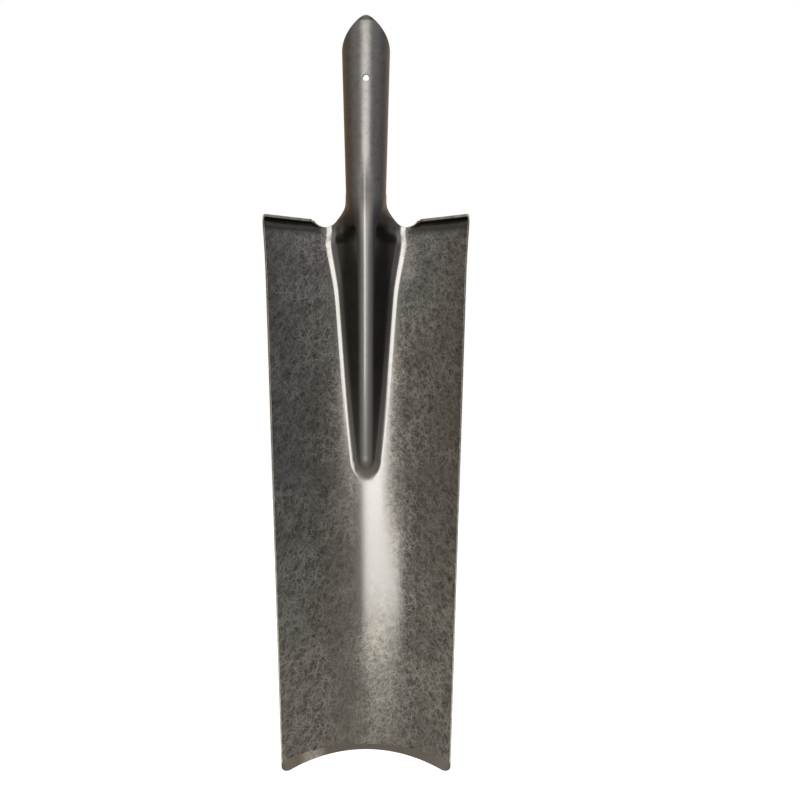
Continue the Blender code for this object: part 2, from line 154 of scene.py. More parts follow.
class SpadeMesh(PropertyGroup):
    """How finely each zone of the blank is divided before it is pressed."""

    socket_columns: count("Socket columns", "Faces round the socket", 120)
    socket_rows: count("Socket rows", "Faces up the socket", 64)
    frog_columns: count("Frog columns", "Faces across the frog", 84)
    neck_rows: count("Neck rows", "Faces down the neck", 26)
    frog_rows: count("Frog rows", "Faces down the frog", 92)
    nose_rows: count("Nose rows", "Faces down the rounded nose", 18)
    blade_columns: count("Blade columns", "Faces across half of the blade", 34)
    corner_columns: count("Corner columns", "Faces round a corner of the edge", 10)
    shoulder_rows: count("Shoulder rows", "Faces down the start of the bend", 6)
    blade_rows: count("Blade rows", "Faces from the nose to the ground face", 86)
    ground_rows: count("Ground rows", "Faces down the ground face", 4)
    tread_rows: count("Tread rows", "Faces from a tread's rim down to the shoulder", 24)
    notch_columns: count("Notch columns", "Faces round the notch's curve into a tread", 14)
    inner_columns: count("Inner columns", "Faces along a tread's inner end", 8)
    front_columns: count("Front columns", "Faces along a tread's front edge", 16)
    rim_room: length("Rim room", "Length kept free for the rounding along each column of a tread", 0.0006)
    fan: number("Fan", "How far a tread's columns lean outwards for their height", 1.3)
    crowding: number("Crowding", "Over 1 for a tread's rows to crowd towards the bend", 1.3)


def hex_colour(name, description, code):
    options = {"subtype": "COLOR", "size": 4, "min": 0, "max": 1}
    return FloatVectorProperty(name=name, description=description, default=linear(code), **options)


def linear(code):
    """Linear RGBA of an sRGB hex value."""
    channels = [int(code[k : k + 2], 16) / 255 for k in (1, 3, 5)]
    return (*[c / 12.92 if c <= 0.04045 else ((c + 0.055) / 1.055) ** 2.4 for c in channels], 1.0)


class SpadeFinish(PropertyGroup):
    """Colours of the hardened and tumbled carbon steel."""

    ironed: hex_colour("Ironed steel", "Smooth steel of the socket, the frog and round its nose", "#8B8884")
    # Painted shade in the valleys beside the crest and at the treads' bends, and dark speckle on the socket
    scale: hex_colour("Dark scale", "Heat scale left in the hollows, out of the tumbling's reach", "#5B5956")
    dark: hex_colour("Dark steel", "Steel between the scratches", "#7D7872")
    light: hex_colour("Light steel", "Steel that the tumbling has rubbed most", "#989389")
    scratch: hex_colour("Scratch", "Bright bottom of a scratch", "#D2CEC7")
    pit: hex_colour("Pit", "Dark scale left between the scratches", "#4A4640")
    cut: hex_colour("Cut edge", "Bare steel of the cropped edges", "#C4BDB1")
    ground: hex_colour("Ground face", "Tarnished steel of the ground face", "#90877C")
    keen_steel: hex_colour("Fresh grinding", "Where the ground face was last sharpened", "#D8D0C2")


def smooth(t):
    """0 to 1 with no slope at either end."""
    t = min(max(t, 0.0), 1.0)
    return t * t * (3 - 2 * t)


class Form:
    """The shape that the press gives to the flat blank. All its sizes are metres."""

    STEP = 0.00005  # between the points that a face's direction is taken from
    POINTS = 400  # along each part of a section
    SECTION_REACH = 0.9  # of the trough's radius
    CORNER_ROUNDS = 4  # enough for the corner's place to settle

    def __init__(self, sizes):
        for name in SpadeSizes.__annotations__:
            setattr(self, name, getattr(sizes, name))
        self.neck_z = -self.neck
        self.shoulder_z = self.neck_z - self.shoulder
        self.nose_z = self.shoulder_z - self.frog
        self.edge_z = self.shoulder_z - self.blade
        self.notch_z = self.shoulder_z + self.floor_rise
        self.roll_radius = self.socket / 2
        self.sections = {}
        self.leaning = math.atan(self.lean)
        self.underside_z = self.shoulder_z + self.notch_bend * (1 + math.sin(self.leaning))
        self.bend_z = self.underside_z - self.bend * (1 + math.sin(self.leaning))
        self.border = self.frog_half(self.shoulder_z)
        self.nose_end = self.nose_z - self.nose_stretch * self.frog_half(self.nose_z)
        self.notch_bend_length = self.notch_bend * (math.pi / 2 + self.leaning)
        self.blank_bend = (self.notch_bend_length + self.bend) / 2
        self.blank_flat = self.reach - self.bend

    def socket_radius(self, z):
        return self.socket / 2 + self.taper * z

    def trough_radius(self, z):
        return self.trough_top + (self.trough_edge - self.trough_top) * (self.shoulder_z - z) / self.blade

    def middle_y(self, z):
        return self.setback + self.lean * (z - self.shoulder_z)

    def trough_y(self, x, z):
        radius = self.trough_radius(z)
        return self.middle_y(z) - radius + np.sqrt(radius**2 - np.square(x))

    def side_x(self, z):
        down = (self.shoulder_z - z) / self.blade
        straight = self.top_half + (self.edge_half - self.top_half) * down
        near = np.maximum(0.0, 1 - (self.shoulder_z - z) / self.flare_length)
        return straight + self.flare * near**2

    def ridge(self, z):
        """The frog's section at a height.

        It is the crest's radius and centre, the flank's slope, and the fillet's radius, centre and end.
        """
        below_neck = smooth((self.neck_z - z) / self.neck_blend)
        down = min(max((self.shoulder_z - z) / self.frog, 0.0), 1.0)
        crest = self.crest_top + (self.crest_nose - self.crest_top) * down
        socket = self.socket_radius(z)
        crest = socket + (crest - socket) * smooth((self.neck_z - z) / self.crest_blend)
        below = self.shoulder_z - z
        easing = smooth((self.easing_end - below) / (self.easing_end - self.easing_depth))
        easing *= self.easing * smooth(below / self.easing_depth)
        flank = math.pi / 2 + (self.flank - easing - math.pi / 2) * below_neck
        fillet = self.fillet + self.fillet_spread * smooth(1 - below / self.fillet_fade)
        dipped = min(max(1 - (z - self.nose_z) / self.dip_length, 0.0), 1.0)
        centre_y = crest - socket + self.dip * dipped**2
        trough = self.trough_radius(z)
        apart = centre_y - self.middle_y(z) + trough
        both = crest + fillet
        inner = trough - fillet
        touch = math.acos(min(1.0, (apart**2 + both**2 - inner**2) / (2 * apart * both)))
        straight = 0.0
        if touch > flank:
            rest = both**2 + apart**2 - 2 * apart * both * math.cos(flank) - inner**2
            straight = -apart * math.sin(flank) + math.sqrt((apart * math.sin(flank)) ** 2 - rest)
        flank = min(flank, touch)
        fillet_x = both * math.sin(flank) + straight * math.cos(flank)
        fillet_y = centre_y - both * math.cos(flank) + straight * math.sin(flank)
        end = math.atan2(fillet_x, fillet_y - self.middle_y(z) + trough)
        return crest, centre_y, flank, fillet, fillet_x, fillet_y, end

    def foot(self, z):
        """Half width of the frog, where its fillet runs out on the trough."""
        return self.trough_radius(z) * math.sin(self.ridge(z)[-1])

    def ridge_points(self, z):
        crest, centre_y, flank, fillet, fillet_x, fillet_y, end = self.ridge(z)
        over = np.linspace(0, flank, self.POINTS)
        under = np.linspace(flank, -end, self.POINTS)
        x = np.concatenate([crest * np.sin(over), fillet_x - fillet * np.sin(under)])
        y = np.concatenate([centre_y - crest * np.cos(over), fillet_y + fillet * np.cos(under)])
        return x, y

    def section(self, z):
        """Length, x and y across half of the sheet's face at one height, from the middle outwards."""
        key = round(z, 8)
        if key in self.sections:
            return self.sections[key]
        if z >= self.nose_z:
            x, y = self.ridge_points(z)
        else:
            x, y = self.ridge_points(self.nose_z)
            height = self.trough_y(x, self.nose_z) - y
            beyond = (self.nose_z - z) / self.nose_stretch
            reached = x > beyond
            height = np.concatenate([[np.interp(beyond, x, height)], height[reached]])
            x = np.concatenate([[0.0], np.sqrt(np.square(x[reached]) - beyond**2)])
            y = self.trough_y(x, z) - height
        outer = np.linspace(x[-1], self.SECTION_REACH * self.trough_radius(z), self.POINTS)[1:]
        x = np.concatenate([x, outer])
        y = np.concatenate([y, self.trough_y(outer, z)])
        along = np.concatenate([[0.0], np.cumsum(np.hypot(np.diff(x), np.diff(y)))])
        self.sections[key] = (along, x, y)
        return self.sections[key]

    def length_at(self, x, z):
        lengths, xs, _ = self.section(z)
        return float(np.interp(x, xs, lengths))

    def frog_half(self, z):
        """Half width of what is pressed with the frog, closed in an ellipse round the nose."""
        if z >= self.nose_z:
            return self.foot(z) + self.frog_margin
        radius = self.foot(self.nose_z) + self.frog_margin
        return math.sqrt(max(0.0, radius**2 - ((self.nose_z - z) / self.nose_stretch) ** 2))

    def frog_face(self, along, z):
        lengths, xs, ys = self.section(float(z))
        x = math.copysign(np.interp(abs(along), lengths, xs), along)
        return np.array([x, np.interp(abs(along), lengths, ys), z])

    def bend_radius(self, x):
        """Inside radius of the tread's bend, which is tight beside the notch."""
        return self.notch_bend + (self.bend - self.notch_bend) * smooth((x - self.border) / self.bend_growth)

    def bend_start(self, x):
        """Height at which the blade starts to bend forward."""
        return self.underside_z - self.bend_radius(x) * (1 + math.sin(self.leaning))

    def bent_face(self, x, turn):
        """A point of the tread's bend: x is its place across the blade, and turn its slope off the axis."""
        radius = self.bend_radius(x)
        start = self.bend_start(x)
        forward = radius * (math.cos(self.leaning) - math.cos(turn))
        inward = 1 - smooth(1 - (float(self.side_x(self.shoulder_z)) - x) / self.straightening)
        angle = inward * x / self.trough_radius(start)
        z = start + radius * (math.sin(turn) + math.sin(self.leaning))
        y = float(self.trough_y(x, start)) - forward * math.cos(angle)
        return np.array([x - forward * math.sin(angle), y, z])

    def turn_at(self, x, z):
        """Slope of the tread's bend where it passes a height."""
        return math.asin(1 - (self.underside_z - z) / self.bend_radius(x))

    def blade_face(self, x, z):
        """A point of the blade's face, which starts to bend forward just below the shoulder."""
        out = abs(x)
        if z <= self.bend_z or z <= self.bend_start(out):
            return np.array([x, self.trough_y(x, z), z])
        point = self.bent_face(out, self.turn_at(out, z))
        point[0] = math.copysign(point[0], x)
        return point

    def socket_face(self, round_cone, z):
        turn = round_cone / self.roll_radius
        radius = self.socket_radius(z)
        return np.array([radius * math.sin(turn), -radius * math.cos(turn), z])

    def blank_place(self, climb):
        """Place along a tread's blank of a length climbed round the notch's bend and out along the flat.

        On the blank the bend takes its mean length, which is stretched a little as it is turned.
        """
        bent = min(climb / self.notch_bend_length, 1.0)
        out = max(climb - self.notch_bend_length, 0.0) / self.reach
        return self.blank_bend * bent + self.blank_flat * out

    def tread_face(self, across, along):
        """A point of a right tread's inner face: round the bend, then out along the flat underside."""
        outer_root = float(self.side_x(self.shoulder_z))
        bent = min(along / self.blank_bend, 1.0)
        out = max(along - self.blank_bend, 0.0) / self.blank_flat
        root = self.border + across
        first = self.turn_at(root, self.shoulder_z)
        x, y, z = self.bent_face(root, first + (math.pi / 2 - first) * bent)
        if out == 0:
            return np.array([x, y, z])
        share = (across - self.notch_width) / (outer_root - self.border - self.notch_width)
        outer_front = outer_root - self.tread_inset
        front_x = self.tread_inner + (outer_front - self.tread_inner) * share
        inner_y = float(self.trough_y(self.tread_inner, self.shoulder_z))
        outer_y = float(self.trough_y(outer_front, self.shoulder_z))
        front_y = inner_y + (outer_y - inner_y) * share - self.reach
        return np.array([x + (front_x - x) * out, y + (front_y - y) * out, z])

    def corner_centre(self):
        z = self.edge_z
        for _ in range(self.CORNER_ROUNDS):
            x = float(self.side_x(z)) - self.corner
            z = self.edge_z - self.edge_arc + math.sqrt((self.edge_arc + self.corner) ** 2 - x**2)
        return x, z

    def cut_z(self, x):
        """Height of the cutting edge, with its round corner."""
        corner_x, corner_z = self.corner_centre()
        if x <= corner_x * self.edge_arc / (self.edge_arc + self.corner):
            return self.edge_z - self.edge_arc + math.sqrt(self.edge_arc**2 - x**2)
        return corner_z - math.sqrt(max(0.0, self.corner**2 - (x - corner_x) ** 2))

    def ground_z(self, x):
        """Height at which the ground face starts."""
        return self.edge_z + self.bevel - self.bevel_arc + math.sqrt(self.bevel_arc**2 - x**2)


def deselect():
    if bpy.context.object and bpy.context.object.mode != "OBJECT":
        bpy.ops.object.mode_set(mode="OBJECT")
    bpy.ops.object.select_all(action="DESELECT")


def flat_blank(name, rows):
    """A flat sheet whose rows, from the top down, hold (across, up) places from -X to +X."""
    deselect()
    columns = len(rows[0]) - 1
    bpy.ops.mesh.primitive_grid_add(x_subdivisions=columns, y_subdivisions=len(rows) - 1, size=1)
    blank = bpy.context.object
    blank.name = name
    blank.data.name = name
    places = np.array(rows)
    flat = np.empty(len(blank.data.vertices) * 3)
    blank.data.vertices.foreach_get("co", flat)
    flat = flat.reshape(-1, 3)
    j = np.round((flat[:, 0] + 0.5) * columns).astype(int)
    i = np.round((0.5 - flat[:, 1]) * (len(rows) - 1)).astype(int)
    flat[:, :2] = places[i, j]
    blank.data.vertices.foreach_set("co", flat.ravel())
    return blank


def thicken(blank, thickness):
    """Gives the flat blank the sheet's thickness behind its face, and shuts doubled edges."""
    bpy.ops.object.mode_set(mode="EDIT")
    bpy.ops.mesh.select_mode(type="VERT")
    bpy.ops.mesh.select_all(action="SELECT")
    bpy.ops.mesh.remove_doubles(threshold=TINY)
    bpy.ops.mesh.dissolve_degenerate(threshold=TINY)
    bpy.ops.mesh.select_all(action="SELECT")
    bpy.ops.mesh.extrude_region_move(TRANSFORM_OT_translate={"value": (0, 0, -thickness)})
    bpy.ops.mesh.select_all(action="SELECT")
    bpy.ops.mesh.normals_make_consistent(inside=False)
    bpy.ops.object.mode_set(mode="OBJECT")


def round_edges(blank, form, is_open):
    """Rounds the blank's free edges, which are those that is_open accepts by their middle (across, up)."""
    mesh = blank.data
    bpy.ops.object.mode_set(mode="EDIT")
    bpy.ops.mesh.select_mode(type="EDGE")
    bpy.ops.mesh.select_all(action="DESELECT")
    bpy.ops.object.mode_set(mode="OBJECT")
    walls = {}
    for face in mesh.polygons:
        if abs(face.normal.z) < WALL:
            for key in face.edge_keys:
                walls[key] = walls.get(key, 0) + 1
    for edge in mesh.edges:
        a, b = (mesh.vertices[k].co for k in edge.vertices)
        along_sheet = abs(a.z - b.z) < form.thickness / 4
        if along_sheet and walls.get(edge.key) == 1 and is_open((a.x + b.x) / 2, (a.y + b.y) / 2):
            edge.select = True
    bpy.ops.object.mode_set(mode="EDIT")
    bpy.ops.mesh.bevel(offset=form.edge_round, offset_type="OFFSET", segments=3, profile=0.5, affect="EDGES")
    bpy.ops.object.mode_set(mode="OBJECT")


def flat_normals(mesh):
    """Corner normals of the flat blank: faces stay crisp, and the rounding runs smoothly into them."""
    count = len(mesh.polygons)
    normals = np.empty(count * 3)
    mesh.polygons.foreach_get("normal", normals)
    normals = normals.reshape(-1, 3)
    areas = np.empty(count)
    mesh.polygons.foreach_get("area", areas)
    corners = np.empty(len(mesh.loops), dtype=np.int32)
    mesh.loops.foreach_get("vertex_index", corners)
    sizes = np.empty(count, dtype=np.int32)
    mesh.polygons.foreach_get("loop_total", sizes)
    face_of = np.repeat(np.arange(count), sizes)
    level = np.abs(normals[:, 2]) > FACE
    level_corner = level[face_of]
    of_level = np.zeros((len(mesh.vertices), 3))
    np.add.at(of_level, corners[level_corner], normals[face_of[level_corner]])
    of_rest = np.zeros((len(mesh.vertices), 3))
    rest = ~level_corner
    np.add.at(of_rest, corners[rest], normals[face_of[rest]] * areas[face_of[rest], None])
    meets_level = of_level.any(axis=1)
    shared = np.where(meets_level[:, None], of_level, of_rest)
    result = np.where(level_corner[:, None], normals[face_of], shared[corners])
    return result / np.linalg.norm(result, axis=1)[:, None], corners


def mark(mesh, name, is_marked):
    """Marks faces of the flat blank for the steel, which looks different there."""
    values = [1.0 if is_marked(face) else 0.0 for face in mesh.polygons]
    mesh.attributes.new(name, "FLOAT", "FACE").data.foreach_set("value", values)


def press(blank, face):
    """Forms the flat blank: each place goes onto the face, and depth is measured square to it."""
    mesh = blank.data
    mark(mesh, CUT_EDGE, lambda flat: abs(flat.normal.z) < UNTOUCHED_FACE)
    mark(mesh, FRONT, lambda flat: flat.normal.z > WALL)
    normals, corners = flat_normals(mesh)
    places = np.empty(len(mesh.vertices) * 3)
    mesh.vertices.foreach_get("co", places)
    places = places.reshape(-1, 3)
    step = Form.STEP
    found = {}
    points = np.empty_like(places)
    frames = np.empty((len(places), 3, 3))
    for k, (across, up, depth) in enumerate(places):
        key = (round(across, 7), round(up, 7))
        if key not in found:
            over = face(across + step, up) - face(across - step, up)
            rise = face(across, up + step) - face(across, up - step)
            over = over / np.linalg.norm(over)
            out = np.cross(over, rise)
            out = out / np.linalg.norm(out)
            found[key] = (face(across, up), np.array([over, np.cross(out, over), out]))
        point, frame_here = found[key]
        points[k] = point + depth * frame_here[2]
        frames[k] = frame_here
    formed = np.einsum("nk,nkj->nj", normals, frames[corners])
    mesh.vertices.foreach_set("co", points.ravel())
    mesh.update()
    mesh.shade_smooth()
    mesh.normals_split_custom_set(formed)


def finish_piece(blank, form, is_open, face, node):
    """Rounds the blank, forms it, gives it the head's steel and lets it stand for its CAD zone."""
    round_edges(blank, form, is_open)
    press(blank, face)
    blank.data.materials.clear()
    blank.data.materials.append(bpy.data.materials.get("tempered_carbon_steel") or tempered_carbon_steel())
    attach(blank, "root")
    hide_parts(node)
    return {"FINISHED"}


def socket_rows(form, mesh):
    """The socket's blank: a pointed rim, straight seam edges and swept wings."""
    neck_radius = form.socket_radius(form.neck_z)
    tip_radius = form.socket_radius(form.tip)
    last_turn = math.pi - form.seam / 2 / neck_radius
    rows = []
    for i in range(mesh.socket_rows + 1):
        share = i / mesh.socket_rows
        row = []
        for j in range(mesh.socket_columns + 1):
            turn = last_turn * (2 * j / mesh.socket_columns - 1)
            round_cone = abs(turn) * tip_radius
            rim = form.tip - form.rim_fall * (math.hypot(round_cone, form.tip_round) - form.tip_round)
            past_side = max(0.0, abs(turn) - math.pi / 2) / (last_turn - math.pi / 2)
            foot = form.neck_z + form.wing_rise * past_side**form.wing_sweep
            row.append((turn * form.roll_radius, rim + (foot - rim) * share))
        rows.append(row)
    return rows


def border_heights(form, mesh):
    """Heights of the rows beside the frog, from the shoulder to just above its nose."""
    to_bend = np.linspace(form.shoulder_z, form.bend_z, mesh.shoulder_rows + 1)[:-1]
    to_nose = np.linspace(form.bend_z, form.nose_z, mesh.frog_rows + 1)[:-1]
    return [float(z) for z in (*to_bend, *to_nose)]


def nose_places(form, mesh):
    """(height, half width) down the rounded end of the frog's zone."""
    radius = form.frog_half(form.nose_z)
    turns = [math.pi / 2 * k / mesh.nose_rows for k in range(mesh.nose_rows + 1)]
    down = form.nose_z - form.nose_end
    return [(form.nose_z - down * math.sin(turn), radius * math.cos(turn)) for turn in turns]


def frog_rows(form, mesh):
    """The frog's blank: the neck between the notches, then the ridge down to its rounded nose."""
    neck_half = math.pi / 2 * form.socket_radius(form.neck_z)
    floor_half = form.length_at(form.frog_half(form.notch_z), form.notch_z)
    halves = []
    for k in range(mesh.neck_rows + 1):
        fall = math.sin(math.pi / 2 * k / mesh.neck_rows)
        z = form.neck_z - (form.neck_z - form.notch_z) * fall
        swing = 1 - max(0.0, 1 - fall**form.notch_sweep) ** (1 / form.notch_sweep)
        halves.append((z, neck_half + (floor_half - neck_half) * swing))
    halves += [(z, form.length_at(form.frog_half(z), z)) for z in border_heights(form, mesh)]
    halves += [(z, form.length_at(half, z)) for z, half in nose_places(form, mesh)]
    shares = np.linspace(-1, 1, mesh.frog_columns + 1)
    return [[(share * half, z) for share in shares] for z, half in halves]


def blade_rows(form, mesh):
    """The right half of the blade's blank, beside the frog and below it, down to the hollow cut."""
    corner_x, _ = form.corner_centre()
    turn_x = corner_x * form.edge_arc / (form.edge_arc + form.corner)
    full_x = corner_x + form.corner
    shares = [j / mesh.blade_columns * turn_x / full_x for j in range(mesh.blade_columns + 1)]
    lean = math.asin((turn_x - corner_x) / form.corner)
    for k in range(1, mesh.corner_columns + 1):
        turn = lean + (math.pi / 2 - lean) * k / mesh.corner_columns
        shares.append((corner_x + form.corner * math.sin(turn)) / full_x)
    starts = [(z, form.frog_half(z)) for z in border_heights(form, mesh)] + nose_places(form, mesh)
    rows = []
    for z, inner in starts:
        rows.append([(inner + (float(form.side_x(z)) - inner) * share, z) for share in shares])
    start = starts[-1][0]
    for k in range(1, mesh.blade_rows + 1):
        row = []
        for share in shares:
            z = start + (form.ground_z(share * full_x) - start) * k / mesh.blade_rows
            row.append((share * float(form.side_x(z)), z))
        rows.append(row)
    last = rows[-1]
    for k in range(1, mesh.ground_rows + 1):
        t = k / mesh.ground_rows
        row = []
        for share, (x, z) in zip(shares, last):
            end_x = share * full_x
            row.append((x + (end_x - x) * t, z + (form.cut_z(end_x) - z) * t))
        rows.append(row)
    return rows


def grind(blank, form):
    """Takes the blank's face down towards the cutting edge and leaves the back alone."""
    mesh = blank.data
    full_x = form.corner_centre()[0] + form.corner
    for vertex in mesh.vertices:
        x, z, depth = abs(vertex.co.x), vertex.co.y, vertex.co.z
        top = form.ground_z(x)
        if z < top - TINY / 10:
            low = min(form.cut_z(min(x, full_x)), top - 10 * TINY)
            share = min(1.0, (top - z) / (top - low))
            taken = (form.thickness - form.keen) * share
            vertex.co.z = depth - taken * (1 + depth / form.thickness)
    mesh.update()

    def is_ground(flat):
        return flat.normal.z > WALL and flat.center.y < form.ground_z(abs(flat.center.x))

    mark(mesh, GROUND, is_ground)


def tread_rim(form, mesh):
    """(across, up) along a right tread's free edge: the notch's curve, the inner end and the front edge."""
    inner = form.notch_width
    outer = float(form.side_x(form.shoulder_z)) - form.border
    curve_end = form.floor_rise + form.notch_rise
    front = form.notch_bend_length + form.reach
    climbs = []
    for k in range(mesh.notch_columns + 1):
        turn = math.pi / 2 * k / mesh.notch_columns
        climbs.append((inner * math.sin(turn), curve_end - form.notch_rise * math.cos(turn)))
    climbs += [(inner, climb) for climb in np.linspace(curve_end, front, mesh.inner_columns + 1)[1:]]
    climbs += [(across, front) for across in np.linspace(inner, outer, mesh.front_columns + 1)[1:]]
    return [(across, form.blank_place(climb)) for across, climb in climbs]


def tread_rows(form, mesh):
    """A right tread's blank, whose columns fan out from the shoulder and meet its free edge squarely."""
    rim = tread_rim(form, mesh)
    fanned = len(rim) - mesh.front_columns
    roots = [across + mesh.fan * (up - rim[0][1]) for across, up in rim[:fanned]]
    roots += list(np.linspace(roots[-1], rim[-1][0], mesh.front_columns + 1)[1:])
    rows = [rim]
    for left in np.linspace(1, 0, mesh.tread_rows) ** mesh.crowding:
        row = []
        for (across, up), root in zip(rim, roots):
            share = (1 - mesh.rim_room / math.hypot(root - across, up)) * left
            row.append((root + (across - root) * share, up * share))
        rows.append(row)
    return rows


def settings(context):
    return Form(context.scene.spade_sizes), context.scene.spade_mesh


class SPADE_OT_socket(Operator):
    """Cut, pierce and roll the conical socket"""

    bl_idname = "spade.socket"
    bl_label = "Socket"

    def execute(self, context):
        form, mesh = settings(context)
        blank = flat_blank("rolled_socket", socket_rows(form, mesh))
        thicken(blank, form.thickness)
        deselect()
        bpy.ops.mesh.primitive_cylinder_add(vertices=64, radius=form.hole / 2, depth=form.thickness * 4)
        punch = bpy.context.object
        deselect()
        bpy.context.view_layer.objects.active = blank
        blank.select_set(True)
        hole = blank.modifiers.new("fixing_hole", "BOOLEAN")
        hole.operation = "DIFFERENCE"
        hole.object = punch
        bpy.ops.object.modifier_apply(modifier=hole.name)
        bpy.data.objects.remove(punch, do_unlink=True)
        quarter = math.pi / 2 * form.roll_radius

        def is_open(across, up):
            return abs(across) > quarter or up > form.neck_z + form.edge_round

        return finish_piece(blank, form, is_open, form.socket_face, "socket")


class SPADE_OT_frog(Operator):
    """Press the neck and the raised frog"""

    bl_idname = "spade.frog"
    bl_label = "Frog"

    def execute(self, context):
        form, mesh = settings(context)
        blank = flat_blank("pressed_frog", frog_rows(form, mesh))
        thicken(blank, form.thickness)

        def is_open(across, up):
            return form.notch_z < up < form.neck_z - TINY

        return finish_piece(blank, form, is_open, form.frog_face, "frog")


class SPADE_OT_blade(Operator):
    """Press the trough blade and grind its edge"""

    bl_idname = "spade.blade"
    bl_label = "Blade"

    def execute(self, context):
        form, mesh = settings(context)
        blank = flat_blank("trough_blade", blade_rows(form, mesh))
        mirror = blank.modifiers.new("left_half", "MIRROR")
        mirror.merge_threshold = 10 * TINY
        bpy.ops.object.modifier_apply(modifier=mirror.name)
        thicken(blank, form.thickness)
        grind(blank, form)

        def is_open(across, up):
            out = abs(across)
            frog_side = form.frog_half(max(up, form.nose_z)) + form.thickness
            beside_frog = up > form.nose_end - TINY and out < frog_side
            at_shoulder = up > form.shoulder_z - TINY
            at_cut = up < form.ground_z(out) - TINY and out < form.corner_centre()[0]
            return not (beside_frog or at_shoulder or at_cut)

        return finish_piece(blank, form, is_open, form.blade_face, "blade")


class SPADE_OT_tread(Operator):
    """Turn one tread forward"""

    bl_idname = "spade.tread"
    bl_label = "Tread"

    hand: StringProperty(name="Hand", description="left or right", default="right")

    def execute(self, context):
        form, mesh = settings(context)
        side = 1 if self.hand == "right" else -1
        rows = [[(side * across, up) for across, up in row][::side] for row in tread_rows(form, mesh)]
        blank = flat_blank(self.hand + "_turned_tread", rows)
        thicken(blank, form.thickness)

        def is_open(across, up):
            return up > TINY and (side * across > TINY or up > form.blank_place(form.floor_rise))

        def face(across, up):
            x, y, z = form.tread_face(side * across, up)
            return np.array([side * x, y, z])

        return finish_piece(blank, form, is_open, face, self.hand + "_tread")


def add(tree, kind, *inputs, output=0, **options):
    """Adds a node with its settings and links, and returns one of its outputs, or all for None.

    Inputs are values or other nodes' outputs, either in order or in one dictionary. A kind in capitals is an
    operation of the math node, which takes any number of inputs in turn.
    """
    if kind.isupper():
        while len(inputs) > 2:
            inputs = (add(tree, kind, *inputs[:2]), *inputs[2:])
        kind, options["operation"] = "Math", kind
    node = tree.nodes.new("ShaderNode" + kind)
    for name, value in options.items():
        setattr(node, name, value)
    named = inputs[0] if inputs and isinstance(inputs[0], dict) else dict(enumerate(inputs))
    for name, value in named.items():
        if isinstance(value, bpy.types.NodeSocket):
            tree.links.new(value, node.inputs[name])
        else:
            node.inputs[name].default_value = value
    return node.outputs if output is None else node.outputs[output]


class Wear:
    """Where and how finely the steel's look changes on the head.

    Lengths are metres where nothing else is said, and a pair is where a change starts and ends.
    """

    RIDGE_HALF = (0.0150, 0.0290)  # half width of the ironed ridge, at the frog's nose and at the shoulder
    RIDGE_EDGE = (-0.003, 0.005)  # about that half width
    PATCH_LEFT = (-0.014, -0.002)
    PATCH_RIGHT = (0.022, 0.011)  # the ironed patch's right edge, at its foot and at the nose
    PATCH_RIGHT_EDGE = (-0.003, 0.011)  # about that edge
    PATCH_SIDE = (-0.110, 0.0)  # height of that edge, about the nose's end
    PATCH_FOOT = (-0.133, -0.065)  # about the nose's end
    PATCH_FOOT_SWAY = 0.05  # how far the foot goes up and down from lump to lump
    PATCH_TOP = (0.0, 0.018)  # about the nose's end
    LOWER_THIRD = (-0.43, -0.28)
    OFF_MIDDLE = (0.016, 0.036)  # the blade's middle has fewer marks
    # Where shade is painted in the valleys beside the crest
    VALLEY_INNER = (0.0033, 0.0065)  # from the middle of the crest
    VALLEY_INSET = (0.004, 0.010)  # the valley ends inside the ridge by this, along it and at the shoulder
    VALLEY_NARROWING = (-0.066, -0.016)  # about the shoulder
    VALLEY_OUTER = (-0.004, 0.002)  # about where it ends
    VALLEY_NOSE = (0.005, 0.110)  # about the nose's end
    # Where shade is painted at the feet of the treads' bends
    BEND_FOOT = (-0.0045, 0.0010)  # about the start of the treads' bends
    BEND_INNER = (0.0, 0.004)  # about the frog's side
    TIP = (-0.0050, -0.0028)  # about the rim's tip
    FRESH_LEFT = (-0.050, -0.042)
    FRESH_RIGHT = (-0.036, -0.028)
    CREST_SIDE = (0.004, 0.008)
    CREST_TOP = (-0.085, -0.055)
    CREST_NOSE = (-0.002, 0.010)  # about the nose's end
    CREST_LINE_X = -0.0010  # a burnished line runs down the crest, a little left of the middle
    CREST_LINE_SIDE = (0.0002, 0.0011)
    CREST_LINE_FOOT = (-0.280, -0.200)
    NOTCH_SPOT_LEFT = (0.027, 0.032)
    NOTCH_SPOT_RIGHT = (0.035, 0.048)
    NOTCH_SPOT_FOOT = (-0.165, -0.140)
    NOTCH_SPOT_TOP = (-0.127, -0.117)
    # The real scratches are a tenth of a millimetre wide, and are drawn four times as wide so that they show.
    # Sizes of the patterns' cells and widths of the scratches, in millimetres
    FELT = ((4.9, 0.42), (6.2, 0.42), (7.9, 0.42), (10.0, 0.42))
    LONG_MARKS = ((14.0, 0.46), (19.0, 0.46))
    SCRATCH_CORE = 0.15  # share of a scratch's width that is at its brightest
    SCRATCH_ENDS = (0.30, 0.62)  # where it fades out, in cells from its middle
    SCRATCH_BOW = 1.4
    # Lumps in millimetres, detail of the noise, and the noise that makes 0 and 1
    CLOUDS = (30, 2.0, (0.36, 0.66))
    MOTTLE = (5.0, 3.0, (0.34, 0.66))
    GRAIN = (1.9, 2.0, (0.34, 0.66))
    BRUSHING = (0.9, 2.0, (0.30, 0.70))
    PATCH_FOOT_LUMPS = (16, 2.0, None)
    BRUSHING_SCALE = (1, 1, 0.02)  # its lines are drawn out fifty times up the socket
    BUMP_HEIGHT = 0.00005


